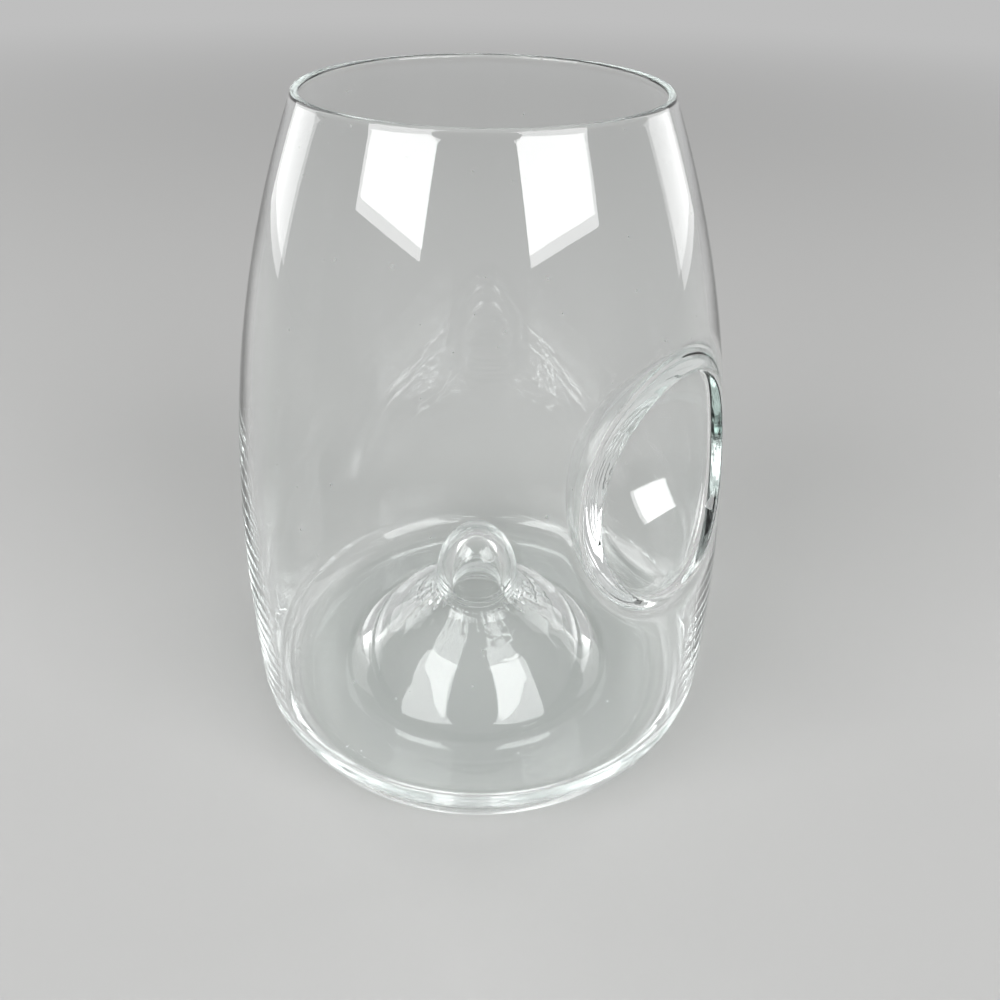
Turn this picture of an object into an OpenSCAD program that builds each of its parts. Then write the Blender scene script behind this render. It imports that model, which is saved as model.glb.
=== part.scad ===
// Stemless wine glass with a thumb dimple and a raised punt, blown in one piece of clear glass.
// It stands on z = 0 with its axis on Z. The zones of the glass meet face to face.

/* [Bowl] */
// Overall height
glass_h = 120; // [100:1:150]
// Outside diameter at the belly, the widest point
belly_d = 92; // [86:1:104]
// Height of the belly above the table
belly_z = 14; // [11:0.5:20]
// Outside diameter at the rim
rim_d = 57; // [50:1:70]
// How late the wall draws in towards the rim: 2 is a plain arch, 3 stays upright for longer
draw_in = 2.65; // [2.2:0.05:3.2]
// Thickness of the wall at the rim
rim_wall = 1.3; // [1:0.1:2]
// Thickness of the wall at the belly
belly_wall = 2.2; // [1.6:0.1:3]
// Height of the polished lip
lip_h = 3; // [2:0.5:6]

/* [Base] */
// Height of the flat floor inside, which is also the thickness of the base
floor_z = 7; // [5:0.5:9]
// How far the outside turns in from the belly to the foot
heel_w = 11; // [9:0.5:14]
// How far the inside turns in from the wall to the flat floor
inner_heel_w = 5.5; // [3:0.5:8]
// Width of the flat ring that the glass stands on
foot_ring_w = 5; // [3:0.5:7]

/* [Punt] */
// Diameter of the egg-shaped nub on top of the punt, at its widest
nub_d = 17; // [15:0.1:21]
// Height of the top of the nub above the table
nub_top = 38.1; // [33:0.1:46]
// How far the nub's top stands above its widest place
nub_rise = 12.6; // [9:0.1:15]
// Diameter of the bell at its shoulder
shoulder_d = 38; // [34:1:42]
// Height of the bell's shoulder above the table
shoulder_z = 15.5; // [14:0.1:18]
// Width of flat floor between the bell's foot and the foot ring
floor_strip_w = 0.7; // [0.5:0.1:4]
// Thickness of the glass over the hollow, at the nub
punt_wall = 3.2; // [2.4:0.1:4]
// How far the hollow's shoulder stands inside the bell's
shoulder_wall = 3.8; // [3:0.1:5]
// How far the hollow's shoulder lies below the bell's
shoulder_cover = 2.6; // [2:0.1:3.5]
// How far the punt stands off the bowl's axis, towards -X
punt_shift = 1; // [0:0.1:2]

/* [Thumb dimple] */
// Radius of the round hollow that takes the thumb
thumb_r = 19; // [17:0.1:23]
// Depth of the hollow below the run of the wall
thumb_depth = 17.2; // [12:0.1:19]
// Height of the hollow's middle above the table
thumb_z = 66.4; // [58:0.1:76]
// Turn of the hollow about the axis, in degrees from -Y towards +X
thumb_turn = 50.4; // [0:0.1:90]
// Thickness of the glass in the hollow
thumb_wall = 2; // [1.5:0.1:2.6]

/* [Hidden] */
$fn = 128;
glass_tint = [0.80, 0.87, 0.86, 0.5];
overrun = 1;

// Steps along the wall, round a quarter turn, along one curve of the bell and round the thumb's ball
wall_steps = 24;
arc_steps = 10;
curve_steps = 8;
ball_steps = 116;

belly_r = belly_d / 2;
rim_r = rim_d / 2;
lip_z = glass_h - lip_h;
foot_r = belly_r - heel_w;
ring_in_r = foot_r - foot_ring_w;
inner_belly_r = belly_r - belly_wall;
floor_r = inner_belly_r - inner_heel_w;

// Share of the way up from the belly, where the wall has reached its thickness at the rim at the lip
function rise(z) = (z - belly_z) / (glass_h - belly_z);
function wall_r(z) = belly_r - (belly_r - rim_r) * pow(rise(z), draw_in);
function wall_t(z) = belly_wall + (rim_wall - belly_wall) * min(1, rise(z) / rise(lip_z));
function inner_r(z) = wall_r(z) - wall_t(z);

function reversed(points) = [for (i = [len(points) - 1:-1:0]) points[i]];
function heights(low, high) = [for (i = [0:wall_steps]) low + (high - low) * i / wall_steps];
function outside(low, high) = [for (z = heights(low, high)) [wall_r(z), z]];
function inside(low, high) = [for (z = heights(low, high)) [inner_r(z), z]];

// A quarter of an ellipse, from straight below its middle out to the side
function quarter(middle, w, h) =
    [for (i = [0:arc_steps]) let (a = 90 * i / arc_steps) middle + [w * sin(a), -h * cos(a)]];

// Half the arch of the nub, from its top out to its widest place
function dome(r, h) = quarter([0, nub_z], r, -h);

function curve(a, b, c, d) =
    [for (i = [0:curve_steps]) let (t = i / curve_steps)
        pow(1 - t, 3) * a + 3 * t * pow(1 - t, 2) * b + 3 * pow(t, 2) * (1 - t) * c + pow(t, 3) * d];

// The punt: an egg-shaped nub on a bell, and the same form again for the hollow below it.
// The shares say how far each handle of the bell's two curves reaches.
nub_r = nub_d / 2;
nub_z = nub_top - nub_rise;
neck_share = 0.5;
shoulder_run_share = 0.4;
shoulder_rise_share = 0.5;
below_shoulder_share = 1.2;
foot_run_share = 0.39;
shoulder = [shoulder_d / 2, shoulder_z];
lean = [shoulder_run_share * (shoulder[0] - nub_r), -shoulder_rise_share * (nub_z - shoulder_z)];
hollow_shoulder = shoulder - [shoulder_wall, shoulder_cover];

function bell(neck_r, shoulder, foot) =
    concat(
        curve([neck_r, nub_z],
              [neck_r, nub_z - neck_share * (nub_z - shoulder[1])],
              shoulder - lean,
              shoulder),
        curve(shoulder,
              shoulder + below_shoulder_share * lean,
              [foot[0] - foot_run_share * (foot[0] - shoulder[0]), foot[1]],
              foot));

// The thumb dimple: a ball pressed into the wall, and round it a ball one wall larger
thumb_middle_r = wall_r(thumb_z) + thumb_r - thumb_depth;
patch_edge = 1.2;
patch_r = sqrt(pow(thumb_r + thumb_wall, 2) - pow(thumb_r - thumb_depth, 2)) + patch_edge;

module towards_thumb() rotate([0, 0, thumb_turn]) translate([0, 0, thumb_z]) children();

module thumb_ball(r) towards_thumb() translate([0, -thumb_middle_r, 0]) sphere(r = r, $fn = ball_steps);

// A round plug through the wall that marks off the patch with the dimple
module thumb_plug()
    towards_thumb() rotate([90, 0, 0]) translate([0, 0, rim_r / 2]) cylinder(r = patch_r, h = belly_r);

module bowl_outside()
    rotate_extrude() polygon(concat([[0, belly_z]], outside(belly_z, lip_z), [[0, lip_z]]));

module bowl_inside()
    rotate_extrude()
        polygon(concat([[0, belly_z - overrun], [inner_belly_r, belly_z - overrun]],
                       inside(belly_z, lip_z),
                       [[inner_r(lip_z), lip_z + overrun], [0, lip_z + overrun]]));

module dimpled_wall()
    difference() {
        bowl_outside();
        thumb_ball(thumb_r);
        difference() {
            bowl_inside();
            thumb_ball(thumb_r + thumb_wall);
        }
    }

module rim_lip() {
    round_z = glass_h - rim_wall / 2;
    color(glass_tint)
        rotate_extrude() {
            polygon(concat(outside(lip_z, round_z), reversed(inside(lip_z, round_z))));
            translate([wall_r(round_z) - rim_wall / 2, round_z]) circle(d = rim_wall);
        }
}

module bowl_wall()
    color(glass_tint)
        difference() {
            dimpled_wall();
            thumb_plug();
        }

module thumb_rest()
    color(glass_tint)
        intersection() {
            dimpled_wall();
            thumb_plug();
        }

module heel()
    color(glass_tint)
        rotate_extrude()
            polygon(concat(quarter([foot_r, belly_z], heel_w, belly_z),
                           reversed(quarter([floor_r, belly_z], inner_heel_w, belly_z - floor_z)),
                           [[foot_r, floor_z]]));

// The punt stands a little off the bowl's axis, and the foot ring is bored where the punt stands
module at_punt() translate([-punt_shift, 0, 0]) children();

module foot_ring()
    color(glass_tint)
        difference() {
            cylinder(r = foot_r, h = floor_z);
            at_punt() translate([0, 0, -overrun]) cylinder(r = ring_in_r, h = floor_z + 2 * overrun);
        }

module punt_bell() {
    top = bell(nub_r, shoulder, [ring_in_r - floor_strip_w, floor_z]);
    hollow = bell(nub_r - punt_wall, hollow_shoulder, [ring_in_r, 0]);
    color(glass_tint)
        at_punt() rotate_extrude() polygon(concat(top, [[ring_in_r, floor_z]], reversed(hollow)));
}

module punt_nub()
    color(glass_tint)
        at_punt() rotate_extrude() polygon(concat(dome(nub_r, nub_rise),
                                                  reversed(dome(nub_r - punt_wall, nub_rise - punt_wall))));

rim_lip();
bowl_wall();
thumb_rest();
heel();
foot_ring();
punt_bell();
punt_nub();
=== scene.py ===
from math import atan2, cos, hypot, pi, radians, sin, sqrt

import bpy
from mathutils import Euler, Matrix, Vector


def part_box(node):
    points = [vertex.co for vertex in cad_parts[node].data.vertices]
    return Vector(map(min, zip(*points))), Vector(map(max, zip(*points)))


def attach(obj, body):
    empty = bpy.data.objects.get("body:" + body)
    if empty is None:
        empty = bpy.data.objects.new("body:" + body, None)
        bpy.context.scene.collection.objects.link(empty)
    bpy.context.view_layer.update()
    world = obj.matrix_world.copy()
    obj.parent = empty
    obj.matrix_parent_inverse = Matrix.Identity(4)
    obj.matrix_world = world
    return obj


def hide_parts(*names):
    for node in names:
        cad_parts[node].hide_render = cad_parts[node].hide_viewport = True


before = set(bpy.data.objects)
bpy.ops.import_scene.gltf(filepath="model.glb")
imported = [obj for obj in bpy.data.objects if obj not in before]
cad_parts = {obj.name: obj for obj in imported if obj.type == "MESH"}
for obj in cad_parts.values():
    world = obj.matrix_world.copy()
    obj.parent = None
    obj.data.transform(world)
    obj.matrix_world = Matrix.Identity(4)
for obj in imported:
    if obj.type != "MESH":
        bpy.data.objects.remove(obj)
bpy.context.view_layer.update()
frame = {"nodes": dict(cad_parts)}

mm = 0.001
print("frame loaded:", ", ".join(frame["nodes"]))


# The photograph's view, close by and a little right of the glass's axis
view = {
    "sideways": 3.54 * mm,        # camera to the right of the axis
    "distance": 149.5 * mm,       # from the axis, on the floor
    "height": 146.85 * mm,
    "tilt": radians(34.38),       # down from level
    "roll": radians(1.04),
    "focal": 33.26,               # in Blender's mm, as the sensor's width
    "sensor": 36,
    "nearest": 5 * mm,            # nothing closer to the camera is drawn
}


def makeCamera():
    data = bpy.data.cameras.new("photoCamera")
    data.sensor_width = view["sensor"]
    data.lens = view["focal"]
    data.clip_start = view["nearest"]
    camera = bpy.data.objects.new("photoCamera", data)
    bpy.context.scene.collection.objects.link(camera)
    turn = Euler((pi / 2 - view["tilt"], 0, 0)).to_matrix() @ Matrix.Rotation(view["roll"], 3, "Z")
    place = Vector((view["sideways"], -view["distance"], view["height"]))
    camera.matrix_world = Matrix.Translation(place) @ turn.to_4x4()
    bpy.context.scene.camera = camera


makeCamera()
print("camera set")


# Shader maths written as plain expressions
class Value:
    def __init__(self, tree, socket):
        self.tree = tree
        self.socket = socket

    def math(self, operation, *others):
        node = self.tree.nodes.new("ShaderNodeMath")
        node.operation = operation
        for slot, item in zip(node.inputs, (self,) + others):
            if isinstance(item, Value):
                self.tree.links.new(item.socket, slot)
            else:
                slot.default_value = item
        return Value(self.tree, node.outputs[0])

    def __add__(self, other):
        return self.math("ADD", other)

    def __mul__(self, other):
        return self.math("MULTIPLY", other)

    __radd__ = __add__
    __rmul__ = __mul__


class Maker:
    def __init__(self, tree):
        self.tree = tree
        tree.nodes.clear()

    def node(self, kind, settings=None, **sockets):
        made = self.tree.nodes.new(kind)
        for name, value in (settings or {}).items():
            setattr(made, name, value)
        for name, value in sockets.items():
            socket = made.inputs[name.replace("_", " ")]
            if isinstance(value, Value):
                self.tree.links.new(value.socket, socket)
            elif isinstance(value, bpy.types.NodeSocket):
                self.tree.links.new(value, socket)
            else:
                socket.default_value = value
        return made

    def value(self, node, output=0):
        return Value(self.tree, node.outputs[output])


glassFinish = {
    "tint": (0.985, 0.993, 0.990, 1),
    "bend": 1.52,                          # index of refraction
    "absorbs": (0.89, 0.945, 0.93, 1),     # what thick glass lets through
    "density": 7,
    "haze": 0.004,                         # roughness of clean glass
    "smear": 0.02,                         # roughness that a smear adds
    "smearScale": 55.0,
    "smearEdges": (0.55, 0.75),            # noise at which a smear starts and is full
    "speck": 0.35,                         # roughness of a grain of dust
    "speckScale": 160.0,
    "speckReach": 0.035,                   # how far a grain reaches in its cell
    "waveScale": 38.0,
    "waveStrength": 0.02,
    "waveHeight": 2 * mm,
    "shade": (0.56, 0.58, 0.57, 1),        # what each face passes on to the floor from the lamps
}


def makeGlass():
    finish = glassFinish
    material = bpy.data.materials.new("clearGlass")
    material.use_nodes = True
    m = Maker(material.node_tree)
    place = m.node("ShaderNodeTexCoord").outputs["Object"]
    smears = m.node("ShaderNodeTexNoise", Vector=place, Scale=finish["smearScale"], Detail=4.0,
                    Roughness=0.6)
    start, full = finish["smearEdges"]
    patch = m.node("ShaderNodeMapRange", Value=smears.outputs["Fac"], From_Min=start, From_Max=full)
    grains = m.node("ShaderNodeTexVoronoi", Vector=place, Scale=finish["speckScale"])
    speck = m.value(grains).math("LESS_THAN", finish["speckReach"])
    rough = m.value(patch) * finish["smear"] + speck * finish["speck"] + finish["haze"]
    waves = m.node("ShaderNodeTexNoise", Vector=place, Scale=finish["waveScale"], Detail=1.0)
    ripple = m.node("ShaderNodeBump", Strength=finish["waveStrength"], Distance=finish["waveHeight"],
                    Height=waves.outputs["Fac"])
    surface = m.node("ShaderNodeBsdfPrincipled", Base_Color=finish["tint"], Roughness=rough,
                     IOR=finish["bend"], Transmission_Weight=1.0, Normal=ripple.outputs["Normal"])
    passed = m.node("ShaderNodeBsdfTransparent", Color=finish["shade"])
    path = m.node("ShaderNodeLightPath")
    both = m.node("ShaderNodeMixShader", Fac=path.outputs["Is Shadow Ray"])
    m.tree.links.new(surface.outputs[0], both.inputs[1])
    m.tree.links.new(passed.outputs[0], both.inputs[2])
    inner = m.node("ShaderNodeVolumeAbsorption", Color=finish["absorbs"], Density=finish["density"])
    m.node("ShaderNodeOutputMaterial", Surface=both.outputs[0], Volume=inner.outputs[0])
    return material


# The glass's section, with the solids' sizes
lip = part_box("rim_lip")
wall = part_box("bowl_wall")
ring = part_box("foot_ring")
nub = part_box("punt_nub")
bowl = {
    "height": lip[1].z,
    "lipBottom": lip[0].z,
    "bellyRadius": wall[1].x,
    "bellyHeight": wall[0].z,
    "rimRadius": 28.5 * mm,
    "drawIn": 2.65,
    "rimWall": 1.3 * mm,
    "bellyWall": 2.2 * mm,
    "footRadius": ring[1].x,
    "ringWidth": 5 * mm,
    "floorHeight": ring[1].z,
    "innerHeel": 5.5 * mm,
    "wallsFrom": 26 * mm,         # above the belly's height the punt stays well inside this
    "columns": 208,               # steps round the axis
    "crowding": 0.45,             # how much closer the columns stand at the dimple
    "wallRows": 110,
    "heelRows": 16,
    "lipRows": 8,
}
punt = {
    "nubRadius": (nub[1].x - nub[0].x) / 2,
    "nubFoot": nub[0].z,
    "nubRise": nub[1].z - nub[0].z,
    "shift": (nub[1].x + nub[0].x) / 2,      # it stands a little off the bowl's axis
    "shoulder": (19 * mm, 15.5 * mm),
    "strip": 0.7 * mm,
    "wall": 3.2 * mm,
    "shoulderWall": 3.8 * mm,
    "shoulderCover": 2.6 * mm,
    "neckReach": 0.5,
    "leanReach": (0.40, 0.50),
    "belowReach": 1.2,
    "footReach": 0.39,
    "nubRows": 20,
    "curveRows": 44,
    "ringPitch": 1.3 * mm,                   # fine tool rings round the neck
    "ringDepth": 0.05 * mm,
    "ringWander": 1.4,                       # how far the rings run up and down, in radians
    "foldCount": 34,                         # short folds on the shelf below the neck
    "foldDepth": 0.07 * mm,
    "foldSlant": 9,                          # how far a fold turns over its length, in radians
    "foldWander": 1.8,
    "markedFrom": 17 * mm,
    "markedTo": 29 * mm,
}


def rise(z):
    return (z - bowl["bellyHeight"]) / (bowl["height"] - bowl["bellyHeight"])


def outerRadius(z):
    return bowl["bellyRadius"] - (bowl["bellyRadius"] - bowl["rimRadius"]) * rise(z) ** bowl["drawIn"]


def wallThickness(z):
    share = min(1, rise(z) / rise(bowl["lipBottom"]))
    return bowl["bellyWall"] + (bowl["rimWall"] - bowl["bellyWall"]) * share


def innerRadius(z):
    return outerRadius(z) - wallThickness(z)


def quarter(middle, w, h, rows):
    turns = [pi / 2 * i / rows for i in range(rows + 1)]
    return [(middle[0] + w * sin(t), middle[1] - h * cos(t)) for t in turns]


def curve(a, b, c, d, rows):
    points = []
    for i in range(rows + 1):
        t = i / rows
        weights = ((1 - t) ** 3, 3 * t * (1 - t) ** 2, 3 * t * t * (1 - t), t ** 3)
        points.append(tuple(sum(k * p[axis] for k, p in zip(weights, (a, b, c, d))) for axis in (0, 1)))
    return points


def bell(neckRadius, neckHeight, shoulder, foot):
    top = punt["shoulder"]
    lean = (punt["leanReach"][0] * (top[0] - punt["nubRadius"]),
            -punt["leanReach"][1] * (punt["nubFoot"] - top[1]))
    below = punt["belowReach"]
    upper = curve((neckRadius, neckHeight),
                  (neckRadius, neckHeight - punt["neckReach"] * (neckHeight - shoulder[1])),
                  (shoulder[0] - lean[0], shoulder[1] - lean[1]),
                  shoulder, punt["curveRows"])
    lower = curve(shoulder,
                  (shoulder[0] + below * lean[0], shoulder[1] + below * lean[1]),
                  (foot[0] - punt["footReach"] * (foot[0] - shoulder[0]), foot[1]),
                  foot, punt["curveRows"])
    return upper + lower[1:]


def dome(radius, foot, rise):
    rows = punt["nubRows"]
    turns = [pi / 2 * i / rows for i in range(rows + 1)]
    return [(radius * sin(t), foot + rise * cos(t)) for t in turns]


def glassSection():
    belly = bowl["bellyHeight"]
    innerBelly = bowl["bellyRadius"] - bowl["bellyWall"]
    floorRadius = innerBelly - bowl["innerHeel"]
    ringIn = bowl["footRadius"] - bowl["ringWidth"]
    top = punt["shoulder"]
    under = (top[0] - punt["shoulderWall"], top[1] - punt["shoulderCover"])
    roundHeight = bowl["height"] - bowl["rimWall"] / 2
    rows = bowl["wallRows"]
    heights = [belly + (roundHeight - belly) * i / rows for i in range(rows + 1)]
    lipMiddle = outerRadius(roundHeight) - bowl["rimWall"] / 2
    turns = [pi * i / bowl["lipRows"] for i in range(1, bowl["lipRows"])]
    lipRound = [(lipMiddle - bowl["rimWall"] / 2 * cos(t), roundHeight + bowl["rimWall"] / 2 * sin(t))
                for t in turns]

    nubRadius, nubFoot, nubRise = punt["nubRadius"], punt["nubFoot"], punt["nubRise"]
    points = dome(nubRadius, nubFoot, nubRise)
    points += bell(nubRadius, nubFoot, top, (ringIn - punt["strip"], bowl["floorHeight"]))[1:]
    points += quarter((floorRadius, belly), bowl["innerHeel"], belly - bowl["floorHeight"], bowl["heelRows"])
    points += [(innerRadius(z), z) for z in heights[1:]]
    points += lipRound
    points += [(outerRadius(z), z) for z in reversed(heights)]
    heel = quarter((bowl["footRadius"], belly), bowl["bellyRadius"] - bowl["footRadius"], belly,
                   bowl["heelRows"])
    points += list(reversed(heel))[1:]
    hollowRadius = nubRadius - punt["wall"]
    points += list(reversed(bell(hollowRadius, nubFoot, under, (ringIn, 0))))
    points += list(reversed(dome(hollowRadius, nubFoot, nubRise - punt["wall"])))[1:]
    return points


dimple = {
    "radius": 19 * mm,
    "depth": 17.2 * mm,
    "height": 66.4 * mm,
    "turn": radians(50.4),        # from the camera's side towards the right
    "wall": 2 * mm,
    "outerSoftness": 1.2 * mm,
    "innerSoftness": 4.5 * mm,
    "lead": 0.5,                  # where the push starts, outside the ball's middle, in radii
    "reach": 3,                   # how far from there it is felt, in radii
}


def softMax(a, b, k):
    h = max(k - abs(a - b), 0) / k
    return max(a, b) + h * h * k / 4


# Pushes the wall away from a point inside the ball, as far as the ball's far side
def pressDimple(vertices, inside):
    out = Vector((sin(dimple["turn"]), -cos(dimple["turn"]), 0))
    middle = outerRadius(dimple["height"]) + dimple["radius"] - dimple["depth"]
    radius = dimple["radius"] + (dimple["wall"] if inside else 0)
    softness = dimple["innerSoftness"] if inside else dimple["outerSoftness"]
    lead = dimple["lead"] * dimple["radius"]
    source = out * (middle + lead) + Vector((0, 0, dimple["height"]))
    for vertex in vertices:
        ray = vertex.co - source
        reach = ray.length
        if vertex.co.dot(out) > 0 and reach < dimple["reach"] * radius:
            ray.normalize()
            along = lead * ray.dot(out)
            ball = sqrt(along ** 2 + radius ** 2 - lead ** 2) - along
            vertex.co = source + ray * softMax(reach, ball, softness)


def deselectAll():
    bpy.ops.object.select_all(action="DESELECT")


def turnSection(points, name):
    deselectAll()
    bpy.ops.mesh.primitive_plane_add(size=mm, location=(0, 0, 0))
    piece = bpy.context.object
    piece.name = name
    bpy.ops.object.mode_set(mode="EDIT")
    bpy.ops.mesh.select_all(action="SELECT")
    bpy.ops.mesh.merge(type="CENTER")
    start = Vector((points[0][0], 0, points[0][1]))
    bpy.ops.transform.translate(value=start)
    for before, after in zip(points, points[1:]):
        step = (after[0] - before[0], 0, after[1] - before[1])
        bpy.ops.mesh.extrude_region_move(TRANSFORM_OT_translate={"value": step})
    bpy.ops.mesh.select_all(action="SELECT")
    bpy.ops.mesh.spin(steps=bowl["columns"], angle=2 * pi, center=(0, 0, 0), axis=(0, 0, 1))
    bpy.ops.mesh.select_all(action="SELECT")
    bpy.ops.mesh.remove_doubles(threshold=0.002 * mm)
    bpy.ops.mesh.normals_make_consistent(inside=False)
    bpy.ops.object.mode_set(mode="OBJECT")
    return piece


def crowdColumns(vertices):
    for vertex in vertices:
        radius = hypot(vertex.co.x, vertex.co.y)
        turn = atan2(vertex.co.x, -vertex.co.y) - dimple["turn"]
        turn = turn - bowl["crowding"] * sin(turn) + dimple["turn"]
        vertex.co.x = radius * sin(turn)
        vertex.co.y = -radius * cos(turn)


def shiftPunt(vertices):
    edge = bowl["footRadius"] - bowl["ringWidth"] + 0.01 * mm
    for vertex in vertices:
        if vertex.co.z < nub[1].z + mm and hypot(vertex.co.x, vertex.co.y) < edge:
            vertex.co.x += punt["shift"]


def markNeck(vertices):
    low, high = punt["markedFrom"], punt["markedTo"]
    for vertex in vertices:
        radius = hypot(vertex.co.x, vertex.co.y)
        if low < vertex.co.z < high and radius < punt["shoulder"][0]:
            turn = atan2(vertex.co.x, -vertex.co.y)
            share = (vertex.co.z - low) / (high - low)
            fade = sin(pi * share)
            ring = sin(2 * pi * vertex.co.z / punt["ringPitch"]
                       + punt["ringWander"] * sin(2 * turn + 1))
            fold = sin(punt["foldCount"] * turn + punt["foldSlant"] * share
                       + punt["foldWander"] * sin(3 * turn))
            grow = 1 + punt["ringDepth"] * fade * ring / radius
            vertex.co.x *= grow
            vertex.co.y *= grow
            vertex.co.z += punt["foldDepth"] * fold * fade * (1 - share)


def makeGlassPiece():
    glass = turnSection(glassSection(), "wineGlass")
    crowdColumns(glass.data.vertices)
    markNeck(glass.data.vertices)
    shiftPunt(glass.data.vertices)
    low, high = bowl["bellyHeight"], bowl["lipBottom"]
    walls = [v for v in glass.data.vertices
             if low < v.co.z < high and hypot(v.co.x, v.co.y) > bowl["wallsFrom"]]
    inner = [v for v in walls
             if hypot(v.co.x, v.co.y) < outerRadius(v.co.z) - wallThickness(v.co.z) / 2]
    innerIndexes = {v.index for v in inner}
    outer = [v for v in walls if v.index not in innerIndexes]
    pressDimple(outer, False)
    pressDimple(inner, True)
    glass.data.polygons.foreach_set("use_smooth", [True] * len(glass.data.polygons))
    glass.data.materials.append(makeGlass())
    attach(glass, "root")
    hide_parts(*frame["nodes"])
    return glass


glass = makeGlassPiece()
print("glass made:", len(glass.data.polygons), "faces")


room = {
    "floorColour": (0.46, 0.46, 0.455, 1),
    "floorRoughness": 0.6,
    "floorSize": 40.0,
    "floorDrop": 0.05 * mm,       # how far the floor lies below the foot
    "litTo": 0.35,                # metres from the glass where the floor starts to fade
    "fadedFrom": 1.1,             # and where it has the backdrop's colour
    "skyColour": (0.15, 0.15, 0.15, 1),
    "backColour": (0.52, 0.52, 0.52, 1),
    "bounces": 48,                # light runs a long way inside the pressed wall
}


# 1 for the rays that show the background, straight or through the glass
def seenRay(m):
    path = m.node("ShaderNodeLightPath")
    seen = m.value(path, "Is Camera Ray")
    for output in ("Is Glossy Ray", "Is Transmission Ray"):
        seen = seen.math("MAXIMUM", m.value(path, output))
    return seen


def makeFloor():
    deselectAll()
    bpy.ops.mesh.primitive_plane_add(size=room["floorSize"], location=(0, 0, -room["floorDrop"]))
    floor = bpy.context.object
    floor.name = "floor"
    material = bpy.data.materials.new("paleFloor")
    material.use_nodes = True
    m = Maker(material.node_tree)
    surface = m.node("ShaderNodeBsdfPrincipled", Base_Color=room["floorColour"],
                     Roughness=room["floorRoughness"])
    backdrop = m.node("ShaderNodeEmission", Color=room["backColour"], Strength=1.0)
    place = m.node("ShaderNodeTexCoord").outputs["Object"]
    reach = m.node("ShaderNodeVectorMath", {"operation": "LENGTH"}, Vector=place)
    far = m.node("ShaderNodeMapRange", {"interpolation_type": "SMOOTHSTEP"},
                 Value=reach.outputs["Value"], From_Min=room["litTo"], From_Max=room["fadedFrom"])
    both = m.node("ShaderNodeMixShader", Fac=m.value(far) * seenRay(m))
    m.tree.links.new(surface.outputs[0], both.inputs[1])
    m.tree.links.new(backdrop.outputs[0], both.inputs[2])
    m.node("ShaderNodeOutputMaterial", Surface=both.outputs[0])
    floor.data.materials.append(material)


def makeSky():
    world = bpy.data.worlds.new("studio")
    bpy.context.scene.world = world
    world.use_nodes = True
    m = Maker(world.node_tree)
    dim = m.node("ShaderNodeBackground", Color=room["skyColour"], Strength=1.0)
    pale = m.node("ShaderNodeBackground", Color=room["backColour"], Strength=1.0)
    both = m.node("ShaderNodeMixShader", Fac=seenRay(m))
    m.tree.links.new(dim.outputs[0], both.inputs[1])
    m.tree.links.new(pale.outputs[0], both.inputs[2])
    m.node("ShaderNodeOutputWorld", Surface=both.outputs[0])


# Two softboxes stand in front, left and right, two lower ones beside the glass and one behind
softboxes = {
    "leftBox": {"turn": -48, "rise": 33.5, "distance": 1.0, "size": (0.66, 0.54), "power": 7.8},
    "rightBox": {"turn": 43, "rise": 33.5, "distance": 1.0, "size": (0.66, 0.54), "power": 7.8},
    "leftSide": {"turn": -122, "rise": 18, "distance": 1.0, "size": (0.46, 1.0), "power": 2.6},
    "rightSide": {"turn": 122, "rise": 18, "distance": 1.0, "size": (0.46, 1.0), "power": 2.6},
    "backBox": {"turn": 180, "rise": 56, "distance": 1.0, "size": (1.3, 0.7), "power": 1.5},
}


def makeSoftboxes():
    aim = Vector((0, 0, bowl["height"] / 2))
    for name, box in softboxes.items():
        turn, up = radians(box["turn"]), radians(box["rise"])
        away = Vector((sin(turn) * cos(up), -cos(turn) * cos(up), sin(up)))
        data = bpy.data.lights.new(name, "AREA")
        data.shape = "RECTANGLE"
        data.size, data.size_y = box["size"]
        data.energy = box["power"]
        light = bpy.data.objects.new(name, data)
        bpy.context.scene.collection.objects.link(light)
        light.location = aim + away * box["distance"]
        light.visible_camera = False
        light.rotation_euler = away.to_track_quat("Z", "Y").to_euler()


makeFloor()
makeSky()
makeSoftboxes()
bpy.context.scene.view_settings.view_transform = "Standard"
for kind in ("max_bounces", "glossy_bounces", "transmission_bounces"):
    setattr(bpy.context.scene.cycles, kind, room["bounces"])
print("studio set")
